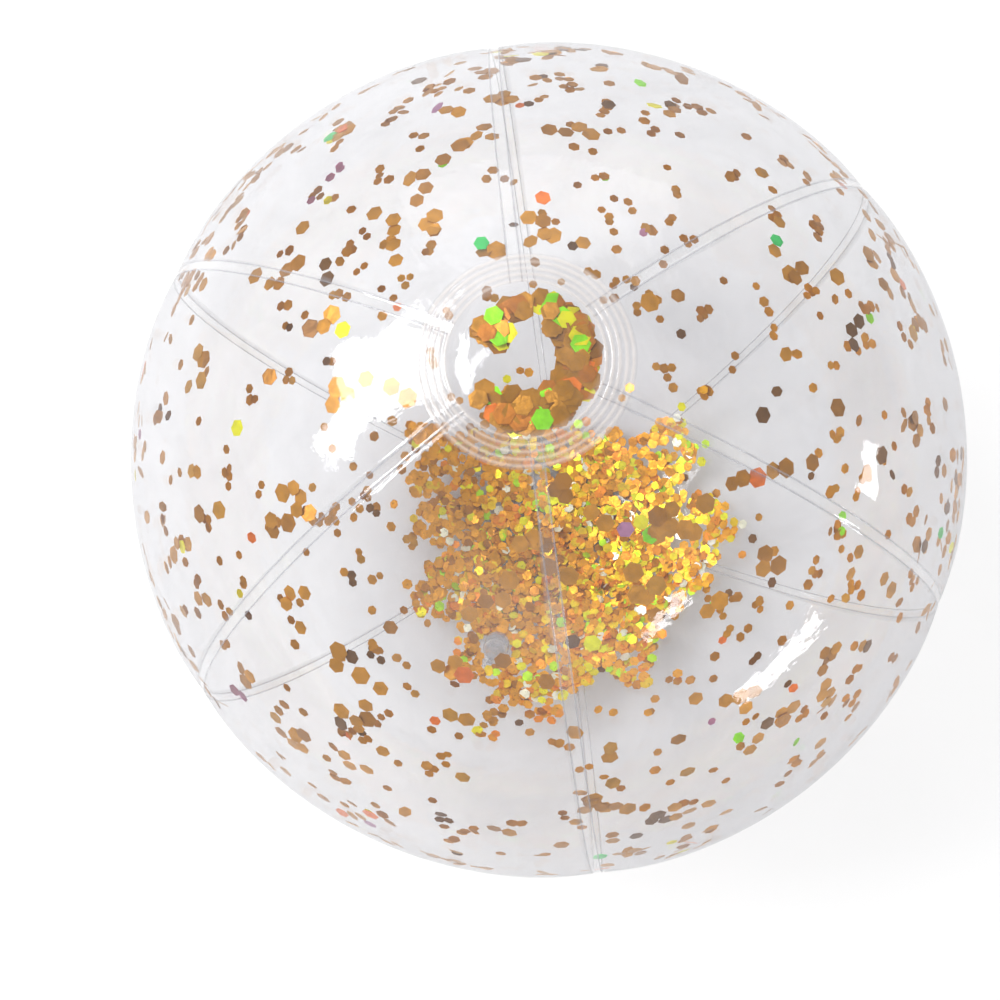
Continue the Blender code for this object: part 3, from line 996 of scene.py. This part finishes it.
def addFloor():
    s = stageLook
    bpy.ops.mesh.primitive_plane_add(size=s["floorSize"], location=(0, 0, 0))
    floor = bpy.context.object
    floor.name = "floor"
    material, tree, output = newMaterial("floorPaint")
    paint = addNode(tree, "ShaderNodeBsdfPrincipled", Base_Color=s["floorColour"],
                    Roughness=s["floorRoughness"])
    tree.links.new(paint.outputs[0], output.inputs["Surface"])
    floor.data.materials.append(material)


# The direction of azimuth and elevation, both in degrees; azimuth 0 looks at the ball's front
def lookWay(azimuth, elevation):
    a, e = math.radians(azimuth), math.radians(elevation)
    return Vector((math.sin(a) * math.cos(e), -math.cos(a) * math.cos(e), math.sin(e)))


# A flat light seen from a spot on the ball at azimuth and elevation; width and height in degrees
def addSoftbox(name, spot, azimuth, elevation, distance, width, height, radiance, roll=0.0):
    back = lookWay(azimuth, elevation)
    light = bpy.data.lights.new(name, "AREA")
    light.shape = "RECTANGLE"
    light.size = 2 * distance * math.tan(math.radians(width / 2))
    light.size_y = 2 * distance * math.tan(math.radians(height / 2))
    light.energy = radiance * math.pi * light.size * light.size_y
    lamp = bpy.data.objects.new(name, light)
    lamp.location = ballCentre + Vector(spot) * ballRadius + back * distance
    lamp.rotation_mode = "QUATERNION"
    turn = Matrix.Rotation(math.radians(roll), 3, "Z").to_quaternion()
    lamp.rotation_quaternion = (-back).to_track_quat("-Z", "Y") @ turn
    bpy.context.scene.collection.objects.link(lamp)


cameraLook = {
    "azimuth": 13.0,
    "elevation": 80.0,
    "roll": -13.0,
    "distance": 2.75,        # in ball radii, from the ball's centre
    "lens": 38.6,
    "shiftX": -0.0487,
    "shiftY": -0.0402,
    "clipStart": 0.01,
}


def addCamera():
    s = cameraLook
    back = lookWay(s["azimuth"], s["elevation"])
    camera = bpy.data.objects.new("camera", bpy.data.cameras.new("camera"))
    camera.data.lens = s["lens"]
    camera.data.shift_x = s["shiftX"]
    camera.data.shift_y = s["shiftY"]
    camera.data.clip_start = s["clipStart"]
    camera.location = ballCentre + back * s["distance"] * ballRadius
    camera.rotation_mode = "QUATERNION"
    roll = Matrix.Rotation(math.radians(s["roll"]), 3, "Z").to_quaternion()
    camera.rotation_quaternion = (-back).to_track_quat("-Z", "Y") @ roll
    bpy.context.scene.collection.objects.link(camera)
    bpy.context.scene.camera = camera


softboxes = {       # spot on the ball, azimuth, elevation, distance, width, height, radiance, roll
    "keySoftbox": ((-0.165, 0, 0.986), -113, 53, 1.4, 25, 34, 8.5, 35),
    "sideSoftbox": ((-0.307, -0.111, 0.945), -89, 42, 1.4, 16, 12, 8, -40),
    "glint": ((0.224, -0.417, 0.881), 34, 32, 1.4, 15, 4, 11, 14),
    "lowWindow": ((0.44, -0.50, 0.74), 49, -1, 1.3, 24, 4.5, 9),
    "lowWindowSide": ((0.594, -0.17, 0.78), 86, 0, 1.3, 13, 4.5, 9),
    "backPanel": ((0, 0.3, 0.95), 180, 35, 1.6, 60, 30, 0.8),
}


def addLights():
    world = bpy.data.worlds.new("studio")
    world.use_nodes = True
    sky = world.node_tree.nodes["Background"]
    sky.inputs["Color"].default_value = (1, 1, 1, 1)
    sky.inputs["Strength"].default_value = stageLook["skyStrength"]
    bpy.context.scene.world = world
    for name, settings in softboxes.items():
        addSoftbox(name, *settings)


addCamera()
addFloor()
addLights()
clearFilm = filmMaterial("clearFilm", filmLook)
discFilm = filmMaterial("discFilm", discLook)
addGores(clearFilm)
addDiscs(discFilm)
valveVinyl = filmMaterial("valveVinyl", valveLook)
plugVinyl = filmMaterial("plugVinyl", plugLook)
flapVinyl = filmMaterial("flapVinyl", flapLook)
addValve(valveVinyl, plugVinyl, flapVinyl)
blank = flakeBlank()
wallFoil = flakeMaterial("wallFoil", *foilLook["wall"])
pileFoil = flakeMaterial("pileFoil", *foilLook["pile"])
addWallFlakes(blank, wallFoil)
addCapFlakes(blank, wallFoil)
addPileFlakes(blank, pileFoil)

scene = bpy.context.scene
scene.view_settings.view_transform = "Standard"
scene.cycles.transparent_max_bounces = 32        # enough for every film the view passes through
